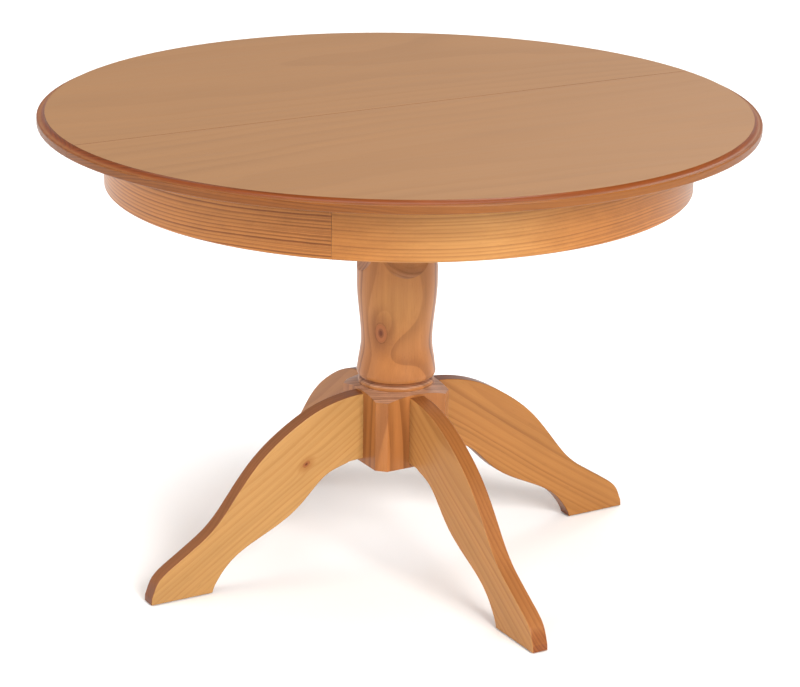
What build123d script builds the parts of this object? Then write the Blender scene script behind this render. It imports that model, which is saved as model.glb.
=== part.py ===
from build123d import *
from math import cos, radians, sin
import os

# Round pedestal table with a top in two halves that pull apart along X.
# Millimetres, +Z up, origin on the floor under the middle of the post.
# The seam of the top lies along Y. The legs point along +X, +Y, -X and -Y.

# Driving dimensions
TOP_R = 550.0          # radius of the closed top
TOP_Z = 736.0          # height of the tabletop
TOP_T = 18.0           # thickness of the top
FIELD_R = 537.5        # radius of the flat field inside the edge moulding
SEAM_GAP = 0.4         # gap between the halves when closed
SEAM_EASE = 0.5        # eased edge along the seam
GLUE_LINE = 0.1        # between the panel and its edge moulding
APRON_R = 451.0        # outside radius of the apron ring
APRON_T = 22.0         # thickness of the apron boards
APRON_Z = 621.5        # bottom edge of the apron
APRON_TOP = 717.5      # top edge of the apron, just under the sliding top
JOINT_AZ = -42.0       # azimuth of the first butt joint in the apron ring
JOINT_GAP = 0.05       # angle left open at each butt joint, in degrees
POST_W = 132.0         # side of the square post
POST_CH = 14.0         # chamfer on the corners of the post
POST_BOTTOM = 169.0
POST_TOP = 613.0
HEAD_R = 63.4          # radius of the turned head of the post
HEAD_FLAT = 48.5       # distance of the four flats on the head from the axis
HEAD_TURN = -14.6      # azimuth of the first flat
LEG_T = 26.0           # thickness of the leg boards
GLIDE_H = 2.0          # height of the foot glides under the legs
PLATE_W = 250.0        # mounting plate on the head of the post
PLATE_T = 20.0
BEARER_X = 85.0        # bearers lie along Y at this distance from the middle
BEARER_W = 50.0
RAIL_Y = 170.0         # fixed slide rails lie along X at this distance
RAIL_W = 24.0
RAIL_Z = 678.0
RAIL_TOP = 716.0
RUNNER_W = 22.0        # sliding runners beside the rails
RUNNER_Z = 680.0
RUNNER_LONG = 370.0    # reach of a runner under the other half
RUNNER_SHORT = 170.0   # reach of a runner under its own half
SLIDE_GAP = 0.3        # running clearance of the slides
TONGUE_D = 7.7         # depth of the tongue on a runner
GROOVE_D = 8.0         # depth of the groove in a rail
GROOVE_H = 12.0
GROOVE_MID = 697.0     # height of the middle of the groove
DOWEL_R = 5.0          # seam dowels
DOWEL_Y = (-450.0, -250.0, 250.0, 450.0)
FORK_Y = (-500.0, 0.0, 500.0)
FORK_T = 2.5           # thickness of the brass table forks
BOLT_Z = 232.0         # height of the leg bolts
LEG_DOWEL_Z = (200.0, 262.0)
HUB_BORE_R = 27.0
HUB_BORE_TOP = 250.0

SEAT_Z = TOP_Z - TOP_T
PLATE_TOP = POST_TOP + PLATE_T
RING_IN = APRON_R - APRON_T

os.makedirs("parts", exist_ok=True)


def save(part, label):
    part.label = label
    export_step(part, f"parts/{label}.step")


def screw_solid(head_r, shank_r, length):
    """Countersunk wood screw, head flush at z = 0 and shank pointing down."""
    with BuildPart(mode=Mode.PRIVATE) as screw:
        with BuildSketch(Plane.XZ):
            with BuildLine():
                Polyline(
                    (0, 0), (head_r, 0), (head_r, -0.5), (shank_r, -0.5 - (head_r - shank_r)),
                    (shank_r, 3 - length), (0, -length), (0, 0),
                )
            make_face()
        revolve(axis=Axis.Z)
        with Locations((0, 0, 0)):
            Box(head_r * 1.5, 0.8, 1.6, mode=Mode.SUBTRACT)
            Box(0.8, head_r * 1.5, 1.6, mode=Mode.SUBTRACT)
    return screw.part


def screw_hole(head_r, shank_r, length):
    """Room for one countersunk screw, a hair larger than the screw."""
    gap = 0.05
    with BuildPart(mode=Mode.PRIVATE) as hole:
        with BuildSketch(Plane.XZ):
            with BuildLine():
                Polyline(
                    (0, 0.2), (head_r + gap, 0.2), (head_r + gap, -0.5 - gap),
                    (shank_r + gap, -0.5 - gap - (head_r - shank_r)),
                    (shank_r + gap, -length - gap), (0, -length - gap), (0, 0.2),
                )
            make_face()
        revolve(axis=Axis.Z)
    return hole.part


# Screw places: position of the head and the way the shank points
PLATE_SCREWS = [(x, y, PLATE_TOP) for x in (-34, 34) for y in (-34, 34)]
BEARER_SCREWS = [(sx * BEARER_X, y, POST_TOP) for sx in (-1, 1) for y in (-95, 95)]
RAIL_SCREWS = [
    (sx * BEARER_X, sy * RAIL_Y, PLATE_TOP) for sx in (-1, 1) for sy in (-1, 1)
]
RUNNER_SCREW_X = (25.0, 85.0, 145.0)
RUNNER_MID = RAIL_Y + RAIL_W / 2 + SLIDE_GAP + RUNNER_W / 2
RUNNER_MID_IN = RAIL_Y - RAIL_W / 2 - SLIDE_GAP - RUNNER_W / 2
PLATE_SCREW = (4.5, 2.5, 60.0)
BEARER_SCREW = (4.5, 2.5, 50.0)
RAIL_SCREW = (4.5, 2.5, 65.0)
RUNNER_SCREW = (4.0, 2.0, 50.0)
FORK_SCREW = (3.0, 1.5, 12.0)


def leg_plane(turn):
    """Upright plane through the axis of the post, facing along one leg."""
    c = cos(radians(turn))
    s = sin(radians(turn))
    return Plane(origin=(0, 0, 0), x_dir=(-s, c, 0), z_dir=(c, s, 0))


# ---------------------------------------------------------------- post
LEG_TURNS = (0, 90, 180, 270)

with BuildPart() as central_post:
    with BuildSketch(Plane.XY.offset(POST_BOTTOM)):
        square = Rectangle(POST_W, POST_W)
        chamfer(square.vertices(), POST_CH)
    extrude(amount=POST_TOP - POST_BOTTOM)
    # turned length between the square hub and the square head
    with BuildSketch(Plane.XZ):
        with BuildLine():
            Line((0, POST_BOTTOM), (110, POST_BOTTOM))
            Line((110, POST_BOTTOM), (110, 272))
            Spline((110, 272), (84, 282), (68, 288.5), (61.5, 290.5))
            Line((61.5, 290.5), (58.5, 292.0))
            ThreePointArc((58.5, 292.0), (60.2, 296.0), (58.0, 300.0))
            Line((58.0, 300.0), (56.0, 302.0))
            ThreePointArc((56.0, 302.0), (56.2, 305.0), (60.8, 307.0))
            Spline(
                (60.8, 307.0), (62.3, 312.0), (61.4, 320.0), (59.8, 332.5), (57.6, 346.0),
                (56.2, 360.0), (56.4, 374.0), (58.4, 398.0), (61.3, 425.0), (62.9, 444.0),
                (63.4, 462.0), (HEAD_R, 482.0),
            )
            Line((HEAD_R, 482.0), (HEAD_R, POST_TOP))
            Line((HEAD_R, POST_TOP), (0, POST_TOP))
            Line((0, POST_TOP), (0, POST_BOTTOM))
        make_face()
    revolve(axis=Axis.Z, mode=Mode.INTERSECT)
    # four flats on the head, each run out at its lower end by a scooped stop
    for quarter in range(4):
        along = leg_plane(HEAD_TURN + 90 * quarter)
        side = Plane(origin=(0, 0, 0), x_dir=along.z_dir, z_dir=-along.x_dir)
        with BuildSketch(side):
            with BuildLine():
                Line((HEAD_FLAT, POST_TOP), (HEAD_FLAT, 522.0))
                ThreePointArc((HEAD_FLAT, 522.0), (HEAD_FLAT + 5.6, 496.0), (HEAD_R + 1.5, 477.0))
                Line((HEAD_R + 1.5, 477.0), (POST_W, 477.0))
                Line((POST_W, 477.0), (POST_W, POST_TOP))
                Line((POST_W, POST_TOP), (HEAD_FLAT, POST_TOP))
            make_face()
        extrude(amount=POST_W, both=True, mode=Mode.SUBTRACT)
    # bore in the hub that gives access to the leg bolts
    with BuildSketch(Plane.XY.offset(POST_BOTTOM)):
        Circle(HUB_BORE_R)
    extrude(amount=HUB_BORE_TOP - POST_BOTTOM, mode=Mode.SUBTRACT)
    for turn in LEG_TURNS:
        side = leg_plane(turn)
        with BuildSketch(side.offset(HUB_BORE_R - 5)):
            with Locations((0, BOLT_Z)):
                Circle(4.2)
        extrude(amount=POST_W / 2, mode=Mode.SUBTRACT)
        with BuildSketch(side.offset(POST_W / 2 - 28)):
            with Locations(*[(0, z) for z in LEG_DOWEL_Z]):
                Circle(6.05)
        extrude(amount=30, mode=Mode.SUBTRACT)
        # flat seat for the washer inside the bore
        with BuildSketch(side.offset(HUB_BORE_R - 6)):
            with Locations((0, BOLT_Z)):
                Circle(8.6)
        extrude(amount=6, mode=Mode.SUBTRACT)
    for x, y, z in PLATE_SCREWS:
        with Locations((x, y, z)):
            add(screw_hole(*PLATE_SCREW), mode=Mode.SUBTRACT)
save(central_post.part, "central_post")


# ---------------------------------------------------------------- legs
TOE_X = 435.0
HEEL_X = 330.5
with BuildPart() as leg:
    with BuildSketch(Plane.XZ.offset(-LEG_T / 2)):
        with BuildLine():
            Line((POST_W / 2, 176.5), (POST_W / 2, 285.0))
            Spline(
                (POST_W / 2, 285.0), (92, 283.0), (121, 277.3), (152, 266.6), (185, 249.2),
                (217.5, 227.5), (250.5, 199.0), (276.8, 168.7), (297.8, 141.3), (316, 118.5),
                (337, 98.3), (360, 82.0), (391, 62.0), (413, 47.0), (426.5, 31.0), (433.3, 14.0),
                (TOE_X, GLIDE_H),
                tangents=((1, -0.03), (0.05, -1)),
            )
            Line((TOE_X, GLIDE_H), (HEEL_X, GLIDE_H))
            Spline(
                (HEEL_X, GLIDE_H), (321.5, 20.5), (305.8, 40.5), (280.5, 60.5), (249.5, 76.5),
                (217, 92.0), (184, 112.5), (162, 132.5), (142, 152.0), (119, 166.0),
                (93, 173.8), (POST_W / 2, 176.5),
                tangents=((-0.25, 1), (-1, 0.05)),
            )
        make_face()
    extrude(amount=LEG_T, both=False)
    long_edges = leg.edges().filter_by(Axis.Y, reverse=True).filter_by(GeomType.BSPLINE)
    fillet(long_edges, 1.6)
    with BuildSketch(Plane.YZ.offset(POST_W / 2)):
        with Locations(*[(0, z) for z in LEG_DOWEL_Z]):
            Circle(6.05)
    extrude(amount=30, mode=Mode.SUBTRACT)
    with BuildSketch(Plane.YZ.offset(POST_W / 2)):
        with Locations((0, BOLT_Z)):
            Circle(6.55)
    extrude(amount=25, mode=Mode.SUBTRACT)
    with BuildSketch(Plane.YZ.offset(POST_W / 2 + 25)):
        with Locations((0, BOLT_Z)):
            Circle(4.2)
    extrude(amount=22, mode=Mode.SUBTRACT)
    with BuildSketch(Plane.XY.offset(GLIDE_H)):
        with Locations((400, 0)):
            Circle(2.05)
    extrude(amount=14, mode=Mode.SUBTRACT)

LEG_NAMES = ("leg_front_right", "leg_back_right", "leg_back_left", "leg_front_left")
for turn, leg_name in zip(LEG_TURNS, LEG_NAMES):
    with BuildPart() as one_leg:
        with Locations(Rotation(0, 0, turn)):
            add(leg.part)
    save(one_leg.part, leg_name)

with BuildPart() as leg_dowels:
    for turn in LEG_TURNS:
        side = leg_plane(turn)
        for z in LEG_DOWEL_Z:
            with BuildSketch(side.offset(POST_W / 2 - 27)):
                with Locations((0, z)):
                    Circle(6.0)
            extrude(amount=56)
    chamfer(leg_dowels.edges().filter_by(GeomType.CIRCLE), 1.0)
save(leg_dowels.part, "leg_dowels")

with BuildPart() as leg_inserts:
    for turn in LEG_TURNS:
        side = leg_plane(turn)
        with BuildSketch(side.offset(POST_W / 2 + 1)):
            with Locations((0, BOLT_Z)):
                Circle(6.5)
                Circle(4.1, mode=Mode.SUBTRACT)
        extrude(amount=23.5)
save(leg_inserts.part, "leg_inserts")

with BuildPart() as leg_bolts:
    for turn in LEG_TURNS:
        side = leg_plane(turn)
        with BuildSketch(side.offset(HUB_BORE_R - 8.6)):
            with Locations((0, BOLT_Z)):
                RegularPolygon(6.5, 6, major_radius=False)
        extrude(amount=5.3)
        with BuildSketch(side.offset(HUB_BORE_R - 8.6)):
            with Locations((0, BOLT_Z)):
                Circle(4.0)
        extrude(amount=80)
save(leg_bolts.part, "leg_bolts")

with BuildPart() as leg_bolt_washers:
    for turn in LEG_TURNS:
        side = leg_plane(turn)
        with BuildSketch(side.offset(HUB_BORE_R - 2.4)):
            with Locations((0, BOLT_Z)):
                Circle(8.0)
                Circle(4.15, mode=Mode.SUBTRACT)
        extrude(amount=1.6)
save(leg_bolt_washers.part, "leg_bolt_washers")

with BuildPart() as foot_glides:
    with PolarLocations(400, 4):
        with Locations((0, 0, GLIDE_H / 2)):
            Cylinder(10.5, GLIDE_H)
    chamfer(foot_glides.edges().filter_by(GeomType.CIRCLE).group_by(Axis.Z)[0], 1.2)
    with BuildSketch(Plane.XY.offset(GLIDE_H)):
        with PolarLocations(400, 4):
            Circle(2.0)
    extrude(amount=12)
save(foot_glides.part, "foot_glides")


# ---------------------------------------------------------------- frame under the top
with BuildPart() as head_plate:
    with BuildSketch(Plane.XY.offset(POST_TOP)):
        RectangleRounded(PLATE_W, PLATE_W, 18)
    extrude(amount=PLATE_T)
    chamfer(head_plate.faces().sort_by(Axis.Z)[0].edges(), 2.5)
    for x, y, z in PLATE_SCREWS:
        with Locations((x, y, z)):
            add(screw_hole(*PLATE_SCREW), mode=Mode.SUBTRACT)
    for x, y, z in BEARER_SCREWS:
        with Locations(Location((x, y, z)) * Location((0, 0, 0), (180, 0, 0))):
            add(screw_hole(*BEARER_SCREW), mode=Mode.SUBTRACT)
save(head_plate.part, "head_plate")

for bearer_name, sx in (("bearer_left", -1), ("bearer_right", 1)):
    with BuildPart() as bearer:
        with BuildSketch(Plane.XY.offset(PLATE_TOP)):
            Circle(RING_IN)
            with Locations((sx * BEARER_X, 0)):
                Rectangle(BEARER_W, 2 * APRON_R, mode=Mode.INTERSECT)
        extrude(amount=RAIL_Z - PLATE_TOP)
        chamfer(bearer.faces().sort_by(Axis.Z)[0].edges().filter_by(Axis.Y), 3)
        for x, y, z in BEARER_SCREWS:
            if x * sx > 0:
                with Locations(Location((x, y, z)) * Location((0, 0, 0), (180, 0, 0))):
                    add(screw_hole(*BEARER_SCREW), mode=Mode.SUBTRACT)
        for x, y, z in RAIL_SCREWS:
            if x * sx > 0:
                with Locations(Location((x, y, z)) * Location((0, 0, 0), (180, 0, 0))):
                    add(screw_hole(*RAIL_SCREW), mode=Mode.SUBTRACT)
    save(bearer.part, bearer_name)

for rail_name, sy in (("rail_front", -1), ("rail_back", 1)):
    with BuildPart() as rail:
        with BuildSketch(Plane.XY.offset(RAIL_Z)):
            Circle(RING_IN)
            with Locations((0, sy * RAIL_Y)):
                Rectangle(2 * APRON_R, RAIL_W, mode=Mode.INTERSECT)
        extrude(amount=RAIL_TOP - RAIL_Z)
        for edge_y in (RAIL_Y - RAIL_W / 2, RAIL_Y + RAIL_W / 2):
            with Locations((0, sy * edge_y, GROOVE_MID)):
                Box(2 * APRON_R, 2 * GROOVE_D, GROOVE_H, mode=Mode.SUBTRACT)
        for x, y, z in RAIL_SCREWS:
            if y * sy > 0:
                with Locations(Location((x, y, z)) * Location((0, 0, 0), (180, 0, 0))):
                    add(screw_hole(*RAIL_SCREW), mode=Mode.SUBTRACT)
    save(rail.part, rail_name)

for group_name, places, sizes, flip in (
    ("head_plate_screws", PLATE_SCREWS, PLATE_SCREW, False),
    ("bearer_screws", BEARER_SCREWS, BEARER_SCREW, True),
    ("rail_screws", RAIL_SCREWS, RAIL_SCREW, True),
):
    with BuildPart() as group:
        for x, y, z in places:
            with Locations(Location((x, y, z)) * Location((0, 0, 0), (180 if flip else 0, 0, 0))):
                add(screw_solid(*sizes))
    save(group.part, group_name)


# ---------------------------------------------------------------- apron ring
SEGMENTS = (
    ("apron_front", JOINT_AZ - 90),
    ("apron_right", JOINT_AZ),
    ("apron_back", JOINT_AZ + 90),
    ("apron_left", JOINT_AZ + 180),
)
for segment_name, start in SEGMENTS:
    with BuildPart() as segment:
        with BuildSketch(Plane.XZ):
            with BuildLine():
                Polyline(
                    (RING_IN, APRON_Z), (APRON_R - 2, APRON_Z), (APRON_R, APRON_Z + 2),
                    (APRON_R, APRON_TOP), (RING_IN, APRON_TOP), (RING_IN, APRON_Z),
                )
            make_face()
        revolve(axis=Axis.Z, revolution_arc=90 - JOINT_GAP)
        with BuildPart(mode=Mode.PRIVATE) as turned:
            with Locations(Rotation(0, 0, start + JOINT_GAP / 2)):
                add(segment.part)
    save(turned.part, segment_name)

BLOCK_Z = (632.0, 676.0)
with BuildPart() as apron_blocks:
    with BuildSketch(Plane.XZ):
        with BuildLine():
            Polyline(
                (RING_IN - 26, BLOCK_Z[0]), (RING_IN, BLOCK_Z[0]), (RING_IN, BLOCK_Z[1]),
                (RING_IN - 26, BLOCK_Z[1]), (RING_IN - 26, BLOCK_Z[0]),
            )
        make_face()
    revolve(axis=Axis.Z, revolution_arc=9)
with BuildPart() as apron_joint_blocks:
    for quarter in range(4):
        with Locations(Rotation(0, 0, JOINT_AZ - 4.5 + 90 * quarter)):
            add(apron_blocks.part)
save(apron_joint_blocks.part, "apron_joint_blocks")


# ---------------------------------------------------------------- sliding halves
def half_cut(sx):
    """Takes away everything on the far side of the seam."""
    size = 2 * TOP_R + 20
    with Locations((-sx * (size / 2 - SEAM_GAP / 2), 0, TOP_Z)):
        Box(size, size, 8 * TOP_T, mode=Mode.SUBTRACT)


def runner_places(sx):
    """Middle lines of the two runners of one half."""
    mid = RUNNER_MID if sx > 0 else RUNNER_MID_IN
    return (("front", -mid), ("back", mid))


for side_name, sx in (("right", 1), ("left", -1)):
    runner_screws = [(sx * x, y, RUNNER_Z) for x in RUNNER_SCREW_X for _, y in runner_places(sx)]
    fork_screws = [
        (sx * x, y + dy, SEAT_Z - FORK_T) for x in (20.0, 32.0) for y in FORK_Y for dy in (-9.0, 9.0)
    ]
    with BuildPart() as panel:
        with BuildSketch(Plane.XY.offset(SEAT_Z)):
            Circle(FIELD_R)
        extrude(amount=TOP_T)
        half_cut(sx)
        seam_edge = panel.edges().filter_by(Axis.Y).sort_by(Axis.Z)[-1]
        chamfer(seam_edge, SEAM_EASE)
        dowel_depth = 24.0 if sx > 0 else 20.0
        dowel_hole_r = DOWEL_R + 0.1 if sx > 0 else DOWEL_R + 0.03
        with BuildSketch(Plane.YZ.offset(sx * (SEAM_GAP / 2 + dowel_depth))):
            with Locations(*[(y, SEAT_Z + TOP_T / 2) for y in DOWEL_Y]):
                Circle(dowel_hole_r)
        extrude(amount=-sx * (dowel_depth + 1), mode=Mode.SUBTRACT)
        for x, y, z in runner_screws:
            with Locations(Location((x, y, z)) * Location((0, 0, 0), (180, 0, 0))):
                add(screw_hole(*RUNNER_SCREW), mode=Mode.SUBTRACT)
        for x, y, z in fork_screws:
            with Locations(Location((x, y, z)) * Location((0, 0, 0), (180, 0, 0))):
                add(screw_hole(*FORK_SCREW), mode=Mode.SUBTRACT)
    save(panel.part, f"top_panel_{side_name}")

    # edge moulding: a dark sunk cove, then a rounded lip and a plain rim
    with BuildPart() as moulding:
        with BuildSketch(Plane.XZ):
            with BuildLine():
                Line((FIELD_R + GLUE_LINE, SEAT_Z), (TOP_R - 2.5, SEAT_Z))
                ThreePointArc(
                    (TOP_R - 2.5, SEAT_Z), (TOP_R - 0.73, SEAT_Z + 0.73), (TOP_R, SEAT_Z + 2.5)
                )
                Line((TOP_R, SEAT_Z + 2.5), (TOP_R, TOP_Z - 7.6))
                ThreePointArc(
                    (TOP_R, TOP_Z - 7.6), (TOP_R - 0.6, TOP_Z - 6.0), (TOP_R - 2.2, TOP_Z - 5.3)
                )
                Line((TOP_R - 2.2, TOP_Z - 5.3), (TOP_R - 4.2, TOP_Z - 5.7))
                ThreePointArc(
                    (TOP_R - 4.2, TOP_Z - 5.7), (TOP_R - 9.6, TOP_Z - 4.2),
                    (FIELD_R + GLUE_LINE, TOP_Z - 0.4),
                )
                Line((FIELD_R + GLUE_LINE, TOP_Z - 0.4), (FIELD_R + GLUE_LINE, SEAT_Z))
            make_face()
        revolve(axis=Axis.Z)
        half_cut(sx)
    save(moulding.part, f"edge_moulding_{side_name}")

    for place, y in runner_places(sx):
        toward_rail = -1 if abs(y) > RAIL_Y else 1
        toward_rail = toward_rail if y > 0 else -toward_rail
        mid_x = sx * (RUNNER_SHORT - RUNNER_LONG) / 2
        with BuildPart() as runner:
            with Locations((mid_x, y, (RUNNER_Z + SEAT_Z) / 2)):
                Box(RUNNER_LONG + RUNNER_SHORT, RUNNER_W, SEAT_Z - RUNNER_Z)
            with Locations((mid_x, y + toward_rail * RUNNER_W / 2, GROOVE_MID)):
                Box(RUNNER_LONG + RUNNER_SHORT, 2 * TONGUE_D, GROOVE_H - 2 * SLIDE_GAP)
            for x, sy, z in runner_screws:
                if sy == y:
                    with Locations(Location((x, sy, z)) * Location((0, 0, 0), (180, 0, 0))):
                        add(screw_hole(*RUNNER_SCREW), mode=Mode.SUBTRACT)
        save(runner.part, f"runner_{side_name}_{place}")

    with BuildPart() as screws:
        for x, y, z in runner_screws:
            with Locations(Location((x, y, z)) * Location((0, 0, 0), (180, 0, 0))):
                add(screw_solid(*RUNNER_SCREW))
    save(screws.part, f"runner_screws_{side_name}")

    # brass table forks: a tongue on the left half enters a fork on the right half
    with BuildPart() as fork:
        with BuildSketch(Plane.XY.offset(SEAT_Z - FORK_T)):
            with Locations(*[(sx * 22.0, y) for y in FORK_Y]):
                RectangleRounded(34, 30, 3)
            if sx > 0:
                with Locations(*[(12.0, y) for y in FORK_Y]):
                    Rectangle(16, 8.4, mode=Mode.SUBTRACT)
            else:
                with Locations(*[(4.0, y) for y in FORK_Y]):
                    Rectangle(24, 8.0)
        extrude(amount=FORK_T)
        for x, y, z in fork_screws:
            with Locations(Location((x, y, z)) * Location((0, 0, 0), (180, 0, 0))):
                add(screw_hole(*FORK_SCREW), mode=Mode.SUBTRACT)
    save(fork.part, f"table_forks_{side_name}")

    with BuildPart() as screws:
        for x, y, z in fork_screws:
            with Locations(Location((x, y, z)) * Location((0, 0, 0), (180, 0, 0))):
                add(screw_solid(*FORK_SCREW))
    save(screws.part, f"fork_screws_{side_name}")

with BuildPart() as seam_dowels:
    with BuildSketch(Plane.YZ.offset(-SEAM_GAP / 2 - 19.5)):
        with Locations(*[(y, SEAT_Z + TOP_T / 2) for y in DOWEL_Y]):
            Circle(DOWEL_R)
    extrude(amount=19.5 + SEAM_GAP + 20.0)
    fillet(seam_dowels.edges().filter_by(GeomType.CIRCLE).group_by(Axis.X)[-1], 2.0)
save(seam_dowels.part, "seam_dowels")
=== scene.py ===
import math
import bpy
from mathutils import Matrix, Vector

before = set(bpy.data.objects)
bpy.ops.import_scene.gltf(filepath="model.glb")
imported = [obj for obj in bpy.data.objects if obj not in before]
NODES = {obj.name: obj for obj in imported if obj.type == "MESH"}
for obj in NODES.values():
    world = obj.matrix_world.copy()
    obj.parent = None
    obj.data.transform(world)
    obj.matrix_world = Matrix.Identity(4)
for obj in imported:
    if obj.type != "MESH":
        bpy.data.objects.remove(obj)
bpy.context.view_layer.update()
SCENE = bpy.context.scene


# ---------------------------------------------------------------- node helpers
class Nodes:
    """Short ways to build a shader tree. Inputs may be numbers or sockets."""

    def __init__(self, name):
        self.mat = bpy.data.materials.new(name)
        self.mat.use_nodes = True
        self.tree = self.mat.node_tree
        self.tree.nodes.clear()
        self.out = self.tree.nodes.new("ShaderNodeOutputMaterial")
        self.bsdf = self.tree.nodes.new("ShaderNodeBsdfPrincipled")
        self.tree.links.new(self.bsdf.outputs["BSDF"], self.out.inputs["Surface"])
        self.coords = self.tree.nodes.new("ShaderNodeTexCoord")

    def put(self, socket, value):
        if isinstance(value, bpy.types.NodeSocket):
            self.tree.links.new(value, socket)
        else:
            socket.default_value = value

    def math(self, op, a, b=None):
        node = self.tree.nodes.new("ShaderNodeMath")
        node.operation = op
        for socket, value in zip(node.inputs, (a, b)):
            if value is not None:
                self.put(socket, value)
        return node.outputs[0]

    def add(self, a, b):
        return self.math("ADD", a, b)

    def sub(self, a, b):
        return self.math("SUBTRACT", a, b)

    def mul(self, a, b):
        return self.math("MULTIPLY", a, b)

    def vec(self, op, a, b=None):
        node = self.tree.nodes.new("ShaderNodeVectorMath")
        node.operation = op
        self.put(node.inputs[0], a)
        if b is not None:
            self.put(node.inputs[1], b)
        return node.outputs["Value"] if op in ("DOT_PRODUCT", "LENGTH") else node.outputs["Vector"]

    def scale(self, a, factor):
        node = self.tree.nodes.new("ShaderNodeVectorMath")
        node.operation = "SCALE"
        self.put(node.inputs[0], a)
        self.put(node.inputs["Scale"], factor)
        return node.outputs["Vector"]

    def xyz(self, x, y, z):
        node = self.tree.nodes.new("ShaderNodeCombineXYZ")
        for socket, value in zip(node.inputs, (x, y, z)):
            self.put(socket, value)
        return node.outputs[0]

    def noise(self, where, scale, detail=2.0, rough=0.5):
        node = self.tree.nodes.new("ShaderNodeTexNoise")
        self.put(node.inputs["Vector"], where)
        node.inputs["Scale"].default_value = scale
        node.inputs["Detail"].default_value = detail
        node.inputs["Roughness"].default_value = rough
        return node.outputs["Fac"]

    def smooth(self, value, low, high, to_low=0.0, to_high=1.0):
        node = self.tree.nodes.new("ShaderNodeMapRange")
        node.interpolation_type = "SMOOTHSTEP"
        self.put(node.inputs["Value"], value)
        node.inputs["From Min"].default_value = low
        node.inputs["From Max"].default_value = high
        node.inputs["To Min"].default_value = to_low
        node.inputs["To Max"].default_value = to_high
        return node.outputs["Result"]

    def mix(self, factor, a, b, blend="MIX"):
        node = self.tree.nodes.new("ShaderNodeMix")
        node.data_type = "RGBA"
        node.blend_type = blend
        self.put(node.inputs[0], factor)
        self.put(node.inputs[6], a)
        self.put(node.inputs[7], b)
        return node.outputs[2]

    def grey(self, value):
        node = self.tree.nodes.new("ShaderNodeCombineColor")
        for socket in node.inputs[:3]:
            self.put(socket, value)
        return node.outputs[0]

    def ramp(self, value, stops):
        node = self.tree.nodes.new("ShaderNodeValToRGB")
        self.put(node.inputs[0], value)
        points = node.color_ramp.elements
        while len(points) < len(stops):
            points.new(1.0)
        for point, (at, colour) in zip(points, stops):
            point.position = at
            point.color = (*colour, 1.0)
        return node.outputs[0]

    def bump(self, height, distance, strength=1.0, normal=None):
        node = self.tree.nodes.new("ShaderNodeBump")
        node.inputs["Strength"].default_value = strength
        node.inputs["Distance"].default_value = distance
        self.put(node.inputs["Height"], height)
        if normal is not None:
            self.put(node.inputs["Normal"], normal)
        return node.outputs[0]


def rgb(r, g, b):
    """A colour given as 0-255 sRGB, as linear values."""
    out = []
    for v in (r, g, b):
        v = v / 255.0
        out.append(v / 12.92 if v <= 0.04045 else ((v + 0.055) / 1.055) ** 2.4)
    return tuple(out)


KNOT_COLOURS = (
    (0.0, rgb(94, 48, 26)), (0.35, rgb(140, 84, 48)), (0.75, rgb(144, 84, 46)), (1.0, rgb(72, 32, 14)),
)
END_RING_SPACING = 0.0045


def rgba(colour):
    return (*colour, 1.0)


def basis(along):
    """Two directions square to the grain direction."""
    w = Vector(along).normalized()
    helper = Vector((0, 0, 1)) if abs(w.z) < 0.8 else Vector((1, 0, 0))
    u = w.cross(helper).normalized()
    return u, w.cross(u).normalized(), w


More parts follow.
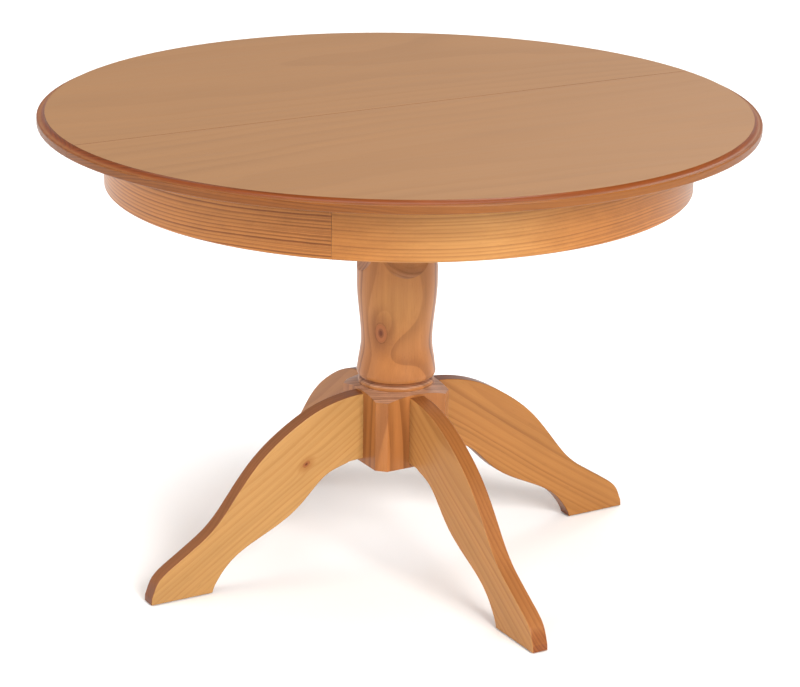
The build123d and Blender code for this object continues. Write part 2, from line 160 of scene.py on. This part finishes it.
def wood(
    name, along, pith, pale, dark, spacing=0.0045, contrast=0.6, wander=0.010, patch=0.10, fine=1.0,
    streak=0.5, seed=0.0, gloss=0.34, coat=0.03, face_axis=None, edge_tint=(1, 1, 1),
    end_grain_and_sheen_tint=(0.78, 0.62, 0.60), knots=(), swells=(), joint_and_shade_bands=(), sapwood_and_highlights=(),
):
    """Solid softwood: growth rings about a pith line, fibre, knots, end grain and satin lacquer.

    along is the grain direction and pith a point on the centre of the rings, in metres.
    edge_tint colours the faces that don't look along face_axis, the end-grain tint the cut ends (a tint above
    1 is painted sheen on them).
    """
    n = Nodes(name)
    u_dir, v_dir, w_dir = basis(along)
    here = n.coords.outputs["Object"]
    normal = n.coords.outputs["Normal"]
    local = n.vec("SUBTRACT", here, tuple(pith))
    u = n.vec("DOT_PRODUCT", local, tuple(u_dir))
    v = n.vec("DOT_PRODUCT", local, tuple(v_dir))
    w = n.vec("DOT_PRODUCT", local, tuple(w_dir))

    # slow wander of the rings along the grain and around the pith
    slow = n.xyz(n.add(n.mul(u, 4.0), seed), n.mul(v, 4.0), n.mul(w, 1.6))
    wobble = n.sub(n.noise(slow, 1.0, 2.0), 0.5)
    ripple_at = n.xyz(n.add(n.mul(u, 18.0), seed), n.mul(v, 18.0), n.mul(w, 5.0))
    ripple = n.sub(n.noise(ripple_at, 1.0, 2.0), 0.5)
    radius = n.math("SQRT", n.add(n.mul(u, u), n.mul(v, v)))
    radius = n.add(radius, n.add(n.mul(wobble, 2.0 * wander), n.mul(ripple, 0.35 * wander)))

    # knots push the rings aside and then show as dark plugs
    plug = None
    for place, direction, size in knots:
        d = Vector(direction).normalized()
        rel = n.vec("SUBTRACT", here, tuple(place))
        t = n.vec("DOT_PRODUCT", rel, tuple(d))
        flat = n.vec("SUBTRACT", rel, n.scale(n.xyz(*d), t))
        lengthwise = n.vec("DOT_PRODUCT", flat, tuple(w_dir))
        squeezed = n.vec("SUBTRACT", flat, n.scale(n.xyz(*w_dir), n.mul(lengthwise, 0.38)))
        near = n.math("DIVIDE", n.vec("LENGTH", squeezed), size)
        pull = n.math("EXPONENT", n.mul(n.mul(near, near), -0.16))
        radius = n.add(radius, n.mul(pull, 1.9 * size))
        ragged = n.add(near, n.mul(n.sub(n.noise(here, 260.0, 2.0), 0.5), 0.5))
        this = n.smooth(ragged, 1.12, 0.62)
        halo = n.smooth(ragged, 3.0, 0.9)
        plug = (this, halo, near) if plug is None else (
            n.math("MAXIMUM", plug[0], this),
            n.math("MAXIMUM", plug[1], halo),
            n.math("MINIMUM", plug[2], near),
        )

    # a buried knot swells the rings above it into closed loops
    for place, size, rise in swells:
        off = n.math("DIVIDE", n.vec("LENGTH", n.vec("SUBTRACT", here, tuple(place))), size)
        radius = n.add(radius, n.mul(n.math("EXPONENT", n.mul(n.mul(off, off), -1.0)), rise))

    count = n.math("DIVIDE", radius, spacing)
    uneven = n.noise(n.xyz(n.mul(count, 0.35), seed, 0.0), 1.0, 1.0)
    count = n.add(count, n.mul(uneven, 1.6))
    phase = n.math("FRACT", count)
    late = n.mul(n.smooth(phase, 0.30, 0.88), n.smooth(phase, 1.0, 0.93))
    strength = n.noise(n.xyz(n.mul(n.math("FLOOR", count), 0.73), seed, n.mul(w, 0.8)), 1.0, 1.0)
    late = n.mul(late, n.smooth(strength, 0.25, 0.75, 0.25, 1.0))

    # fibre: long thin streaks along the grain
    thin = n.xyz(n.mul(u, 620.0), n.mul(v, 620.0), n.mul(w, 9.0))
    fibre = n.noise(thin, 1.0, 3.0, 0.62)
    broad_at = n.xyz(n.add(n.mul(u, 70.0), seed), n.mul(v, 70.0), n.mul(w, 1.7))
    broad = n.noise(broad_at, 1.0, 3.0, 0.55)
    cloud = n.noise(n.xyz(n.add(n.mul(u, 9.0), seed), n.mul(v, 9.0), n.mul(w, 5.0)), 1.0, 2.0)
    flecks = n.smooth(n.noise(n.xyz(n.mul(u, 900.0), n.mul(v, 900.0), n.mul(w, 45.0)), 1.0, 1.0), 0.66, 0.78)

    tone = n.mix(n.mul(late, contrast), rgba(pale), rgba(dark))
    light = n.add(1.0, n.mul(n.sub(fibre, 0.5), 0.16 * fine))
    light = n.add(light, n.mul(n.sub(broad, 0.5), 0.42 * streak))
    light = n.add(light, n.mul(n.sub(cloud, 0.5), 2.2 * patch))
    light = n.sub(light, n.mul(flecks, 0.10 * fine))
    tone = n.mix(1.0, tone, n.grey(light), "MULTIPLY")

    # cut across the grain the wood takes more stain; a tint above 1 there is instead painted sheen, lighter
    # and bluer on faces that look along the grain
    across = n.math("ABSOLUTE", n.vec("DOT_PRODUCT", normal, tuple(w_dir)))
    arcs = n.math("SINE", n.mul(radius, 2 * math.pi / END_RING_SPACING))
    end_grain_and_sheen_tone = n.mix(1.0, tone, rgba(end_grain_and_sheen_tint), "MULTIPLY")
    end_grain_and_sheen_tone = n.mix(1.0, end_grain_and_sheen_tone, n.grey(n.smooth(arcs, 0.2, 1.0, 1.0, 0.72)), "MULTIPLY")
    tone = n.mix(n.smooth(across, 0.30, 0.72), tone, end_grain_and_sheen_tone)
    if face_axis is not None:
        side = n.math("ABSOLUTE", n.vec("DOT_PRODUCT", normal, tuple(face_axis)))
        tone = n.mix(n.smooth(side, 0.85, 0.45), tone, n.mix(1.0, tone, rgba(edge_tint), "MULTIPLY"))
    # pale soft round patches: painted highlight where the lit wood looks brightest, in places also pale
    # sapwood
    for place, size, tint in sapwood_and_highlights:
        off = n.math("DIVIDE", n.vec("LENGTH", n.vec("SUBTRACT", here, tuple(place))), size)
        ragged = n.mul(n.math("EXPONENT", n.mul(n.mul(off, off), -1.0)), n.add(0.55, n.mul(broad, 0.8)))
        tone = n.mix(ragged, tone, n.mix(1.0, tone, rgba(tint), "MULTIPLY"))
    # dark bands square to an axis: a dark seam line where the top's halves meet, and painted shade in coves,
    # in grooves and under the rim
    for axis, low, high, soft, tint in joint_and_shade_bands:
        at = n.vec("DOT_PRODUCT", here, axis)
        band = n.mul(n.smooth(at, low - soft, low), n.smooth(at, high + soft, high))
        tone = n.mix(n.mul(band, 0.85), tone, n.mix(1.0, tone, rgba(tint), "MULTIPLY"))
    if plug is not None:
        tone = n.mix(n.mul(plug[1], 0.45), tone, rgba(tuple(c * f for c, f in zip(dark, (0.95, 0.8, 0.7)))))
        rings = n.math("FRACT", n.mul(plug[2], 4.5))
        heart = n.ramp(
            n.mul(n.smooth(plug[2], 0.1, 1.0), n.smooth(rings, 1.2, 0.2, 0.6, 1.0)),
            KNOT_COLOURS,
        )
        tone = n.mix(plug[0], tone, heart)
    n.put(n.bsdf.inputs["Base Color"], tone)
    n.put(n.bsdf.inputs["Roughness"], n.add(gloss, n.mul(n.sub(broad, 0.5), 0.10)))
    n.bsdf.inputs["Specular IOR Level"].default_value = 0.20
    n.bsdf.inputs["Coat Weight"].default_value = coat
    n.bsdf.inputs["Coat Roughness"].default_value = 0.22
    height = n.add(n.mul(late, 0.6), n.mul(fibre, 0.5))
    n.put(n.bsdf.inputs["Normal"], n.bump(height, 0.00012, 0.35))
    return n.mat


def metal(name, colour, rough, brushed=60.0):
    """Plated or drawn metal with fine turning marks and dull patches."""
    n = Nodes(name)
    here = n.coords.outputs["Object"]
    marks = n.noise(n.vec("MULTIPLY", here, (brushed, brushed, brushed * 14)), 12.0, 2.0)
    stains = n.noise(here, 90.0, 3.0)
    tone = n.mix(n.smooth(stains, 0.35, 0.7), rgba(colour), rgba(tuple(c * 0.78 for c in colour)))
    n.put(n.bsdf.inputs["Base Color"], tone)
    n.bsdf.inputs["Metallic"].default_value = 1.0
    n.put(n.bsdf.inputs["Roughness"], n.add(rough, n.mul(n.sub(marks, 0.5), 0.2)))
    n.put(n.bsdf.inputs["Normal"], n.bump(marks, 0.00005, 0.4))
    return n.mat


def plastic(name, colour):
    """Moulded nylon with a faint grained skin and scuffs."""
    n = Nodes(name)
    here = n.coords.outputs["Object"]
    grain = n.noise(here, 1400.0, 2.0)
    scuff = n.smooth(n.noise(here, 160.0, 3.0), 0.5, 0.75)
    tone = n.mix(scuff, rgba(colour), rgba(tuple(min(1, c * 1.5 + 0.03) for c in colour)))
    n.put(n.bsdf.inputs["Base Color"], tone)
    n.put(n.bsdf.inputs["Roughness"], n.add(0.48, n.mul(scuff, 0.2)))
    n.put(n.bsdf.inputs["Normal"], n.bump(grain, 0.00006, 0.5))
    return n.mat


def dress(node, material):
    """Gives a CAD node its material in every slot."""
    obj = NODES[node]
    if not obj.data.materials:
        obj.data.materials.append(material)
    for slot in obj.material_slots:
        slot.material = material


# ---------------------------------------------------------------- woods
TOP_PALE = rgb(134, 95, 57)
TOP_DARK = rgb(114, 77, 42)

for side, sign, seed in (("right", 1, 2.0), ("left", -1, 9.0)):
    dress(
        f"top_panel_{side}",
        wood(
            f"veneer_{side}", (0, 1, 0.004), (sign * 0.31, 0, -1.9), TOP_PALE, TOP_DARK,
            spacing=0.0030, contrast=0.24,
            wander=0.004, gloss=0.46, coat=0.05, patch=0.03, fine=0.6, seed=seed, streak=0.32,
            joint_and_shade_bands=[((1, 0, 0), -0.0011, 0.0011, 0.0004, (0.70, 0.58, 0.48))],
        ),
    )
    dress(
        f"edge_moulding_{side}",
        wood(
            f"edge_{side}", (0, 1, 0), (sign * 0.3, 0, -0.5), rgb(122, 72, 28), rgb(92, 47, 14),
            spacing=0.006,
            contrast=0.35, wander=0.01, gloss=0.36, coat=0.03, patch=0.06, fine=1.0, seed=seed, streak=0.5,
            # the darker band in the cove below the field is painted shade
            end_grain_and_sheen_tint=(0.92, 0.85, 0.80), joint_and_shade_bands=[((0, 0, 1), 0.7308, 0.7354, 0.0005, (0.84, 0.50, 0.12))],
        ),
    )

LEG_AXES = {
    "leg_front_right": (1, 0),
    "leg_back_right": (0, 1),
    "leg_back_left": (-1, 0),
    "leg_front_left": (0, -1),
}
# pale, dark, contrast, tint of the edges, seed
LEG_LOOKS = {
    "leg_front_right": (rgb(172, 121, 68), rgb(128, 72, 32), 0.42, (0.72, 0.58, 0.52), 3.0),
    "leg_back_right": (rgb(158, 106, 54), rgb(112, 62, 24), 0.48, (0.62, 0.50, 0.50), 7.0),
    "leg_back_left": (rgb(152, 100, 54), rgb(120, 70, 32), 0.50, (0.60, 0.46, 0.46), 11.0),
    "leg_front_left": (rgb(171, 128, 76), rgb(136, 86, 40), 0.36, (0.56, 0.38, 0.36), 15.0),
}
for name, (cx, cy) in LEG_AXES.items():
    pale, dark, contrast, edge, seed = LEG_LOOKS[name]
    slope = math.radians(-33)
    grain = (cx * math.cos(slope), cy * math.cos(slope), math.sin(slope))
    side_axis = (-cy, cx, 0)
    knots = []
    if name == "leg_front_left":
        knots = [((0.013, -0.167, 0.185), (1, 0.05, 0.05), 0.0046)]
    pith = (cx * 0.10 - cy * 0.055, cy * 0.10 + cx * 0.055, 0.30)
    dress(
        name,
        wood(
            f"pine_{name}", grain, pith, pale, dark, spacing=0.0075, contrast=contrast, knots=knots,
            face_axis=side_axis, edge_tint=edge, wander=0.012, seed=seed, patch=0.09, streak=0.75,
            fine=1.6,
        ),
    )

dress(
    "central_post",
    wood(
        "pine_post", (0.03, -0.02, 1), (-0.072, 0.034, 0.3), rgb(158, 101, 54), rgb(92, 46, 18),
        spacing=0.0120,
        contrast=0.60, wander=0.012, seed=21.0, patch=0.10, streak=0.85, fine=1.7,
        knots=[((0.0323, -0.0469, 0.387), (0.567, -0.823, 0.05), 0.0112)],
        # the end-grain tint here lightens and blues the upward-facing scoops and ends: painted sheen
        swells=[((0.049, -0.028, 0.362), 0.036, -0.016)], end_grain_and_sheen_tint=(1.22, 1.65, 3.4),
        # pale patch on the lit front of the post: painted highlight, partly pale sapwood
        sapwood_and_highlights=[((0.055, -0.03, 0.43), 0.055, (1.14, 1.34, 1.40))],
        # dark band in the turned groove: painted shade
        joint_and_shade_bands=[((0, 0, 1), 0.3010, 0.3050, 0.0015, (0.50, 0.36, 0.28))],
    ),
)

# contrast, ring spacing, azimuth of the middle of the board's grain, height of its pith
APRON_LOOKS = {
    "apron_front": (0.85, 0.0056, -87, -0.30),
    "apron_right": (0.48, 0.0056, -20, -0.25),
    "apron_back": (0.70, 0.0052, 93, -0.20),
    "apron_left": (0.70, 0.0056, 183, 0.640),
}
for index, (name, (contrast, spacing, azimuth, depth)) in enumerate(APRON_LOOKS.items()):
    middle = math.radians(azimuth)
    grain = (-math.sin(middle), math.cos(middle), 0.01)
    pith = (0.36 * math.cos(middle), 0.36 * math.sin(middle), depth)
    pale, dark, highlight_patches = rgb(164, 106, 52), rgb(96, 45, 14), []
    if name == "apron_right":
        pale, dark = rgb(160, 102, 48), rgb(98, 50, 17)
        # pale patch where the key light falls brightest on the right apron: painted highlight
        highlight_patches = [((0.4335, -0.1243, 0.665), 0.12, (1.18, 1.50, 1.95))]
    dress(
        name,
        wood(
            f"pine_{name}", grain, pith, pale, dark, spacing=spacing, contrast=contrast,
            wander=0.007, seed=30.0 + 5 * index, patch=0.09, streak=0.80, fine=1.6,
            end_grain_and_sheen_tint=(0.95, 0.92, 0.9),
            # the darker band along the top of each apron, just under the rim, is painted shadow of the
            # overhang
            sapwood_and_highlights=highlight_patches, joint_and_shade_bands=[((0, 0, 1), 0.7130, 0.7180, 0.014, (0.78, 0.66, 0.56))],
        ),
    )

plain_pine = wood(
    "planed_pine_y", (0, 1, 0), (0.2, 0, 0.5), rgb(196, 154, 104), rgb(166, 116, 68),
    spacing=0.006, contrast=0.5,
    gloss=0.62, coat=0.0, seed=50.0,
)
rail_pine = wood(
    "planed_pine_x", (1, 0, 0), (0, 0.3, 0.5), rgb(194, 152, 104), rgb(164, 114, 68),
    spacing=0.005, contrast=0.5,
    gloss=0.62, coat=0.0, seed=55.0,
)
dowel_wood = wood(
    "dowel_beech", (1, 0, 0), (0, 0.2, 0.2), rgb(210, 172, 126), rgb(188, 146, 98),
    spacing=0.003, contrast=0.3,
    gloss=0.6, coat=0.0, seed=60.0,
)
for node in ("bearer_left", "bearer_right", "head_plate", "apron_joint_blocks"):
    dress(node, plain_pine)
for node in (
    "rail_front", "rail_back", "runner_right_front", "runner_right_back", "runner_left_front",
    "runner_left_back",
):
    dress(node, rail_pine)
for node in ("leg_dowels", "seam_dowels"):
    dress(node, dowel_wood)
zinc = metal("zinc_steel", (0.62, 0.62, 0.60), 0.34)
brass = metal("brass", (0.72, 0.52, 0.22), 0.30)
for node in (
    "leg_bolts", "leg_bolt_washers", "head_plate_screws", "bearer_screws", "rail_screws",
    "runner_screws_right",
    "runner_screws_left", "fork_screws_right", "fork_screws_left",
):
    dress(node, zinc)
for node in ("leg_inserts", "table_forks_right", "table_forks_left"):
    dress(node, brass)
dress("foot_glides", plastic("glide_nylon", rgb(88, 66, 48)))


# ---------------------------------------------------------------- floor, light and camera
bpy.ops.mesh.primitive_plane_add(size=80, location=(0, 0, 0))
floor = bpy.context.object
floor.name = "studio_floor"
paper = Nodes("studio_paper")
paper_tone = paper.noise(paper.coords.outputs["Object"], 3.0, 2.0)
paper.put(
    paper.bsdf.inputs["Base Color"], paper.mix(paper_tone, rgba((0.93, 0.93, 0.93)), rgba((0.95, 0.95, 0.95)))
)
paper.bsdf.inputs["Roughness"].default_value = 0.9
paper.bsdf.inputs["Specular IOR Level"].default_value = 0.1
floor.data.materials.append(paper.mat)


def softbox(name, place, target, size, power, colour):
    light = bpy.data.lights.new(name, "AREA")
    light.shape = "DISK"
    light.size = size
    light.energy = power
    light.color = colour
    obj = bpy.data.objects.new(name, light)
    obj.location = place
    obj.rotation_euler = (Vector(target) - Vector(place)).to_track_quat("-Z", "Y").to_euler()
    SCENE.collection.objects.link(obj)
    return obj


def around(azimuth, distance, height):
    """A place seen from the table at an azimuth in degrees."""
    a = math.radians(azimuth)
    return (distance * math.cos(a), distance * math.sin(a), height)


softbox("key", around(0, 6.0, 3.6), (0, 0, 0.45), 3.4, 500, (1.0, 0.985, 0.96))
softbox("fill", around(-100, 5.0, 2.2), (0, 0, 0.3), 3.0, 110, (1.0, 0.99, 0.98))
softbox("back", around(130, 6.0, 5.0), (0, 0, 0.6), 3.0, 80, (1.0, 1.0, 1.0))

softbox("overhead", (0, 0, 6.5), (0, 0, 0), 5.0, 260, (1.0, 1.0, 1.0))

world = bpy.data.worlds.new("studio")
SCENE.world = world
world.use_nodes = True
# bright overhead and at the horizon, darker between, so the lacquer keeps its colour
sky = world.node_tree
direction = sky.nodes.new("ShaderNodeTexCoord")
split = sky.nodes.new("ShaderNodeSeparateXYZ")
sky.links.new(direction.outputs["Generated"], split.inputs[0])
fade = sky.nodes.new("ShaderNodeValToRGB")
fade.color_ramp.elements.new(0.24)
for element, level in zip(fade.color_ramp.elements, (0.86, 0.40, 1.0)):
    element.color = (level, level, level, 1.0)
sky.links.new(split.outputs["Z"], fade.inputs[0])
sky.links.new(fade.outputs[0], sky.nodes["Background"].inputs["Color"])
sky.nodes["Background"].inputs["Strength"].default_value = 0.98
SCENE.view_settings.view_transform = "Standard"

CAMERA_AT = Vector((3.4140, -1.9932, 1.6798))
LOOK = Vector((-0.81806, 0.47915, -0.31809)).normalized()
LENS_MM = 119.46
ROLL_DEG = 0.831
cam_data = bpy.data.cameras.new("camera")
cam_data.sensor_width = 36.0
cam_data.lens = LENS_MM
cam_data.clip_end = 200
camera = bpy.data.objects.new("camera", cam_data)
right = LOOK.cross(Vector((0, 0, 1))).normalized()
up = right.cross(LOOK)
roll = math.radians(ROLL_DEG)
right, up = (
    right * math.cos(roll) + up * math.sin(roll),
    up * math.cos(roll) - right * math.sin(roll),
)
turn = Matrix((right, up, -LOOK)).transposed().to_4x4()
camera.matrix_world = Matrix.Translation(CAMERA_AT) @ turn
SCENE.collection.objects.link(camera)
SCENE.camera = camera
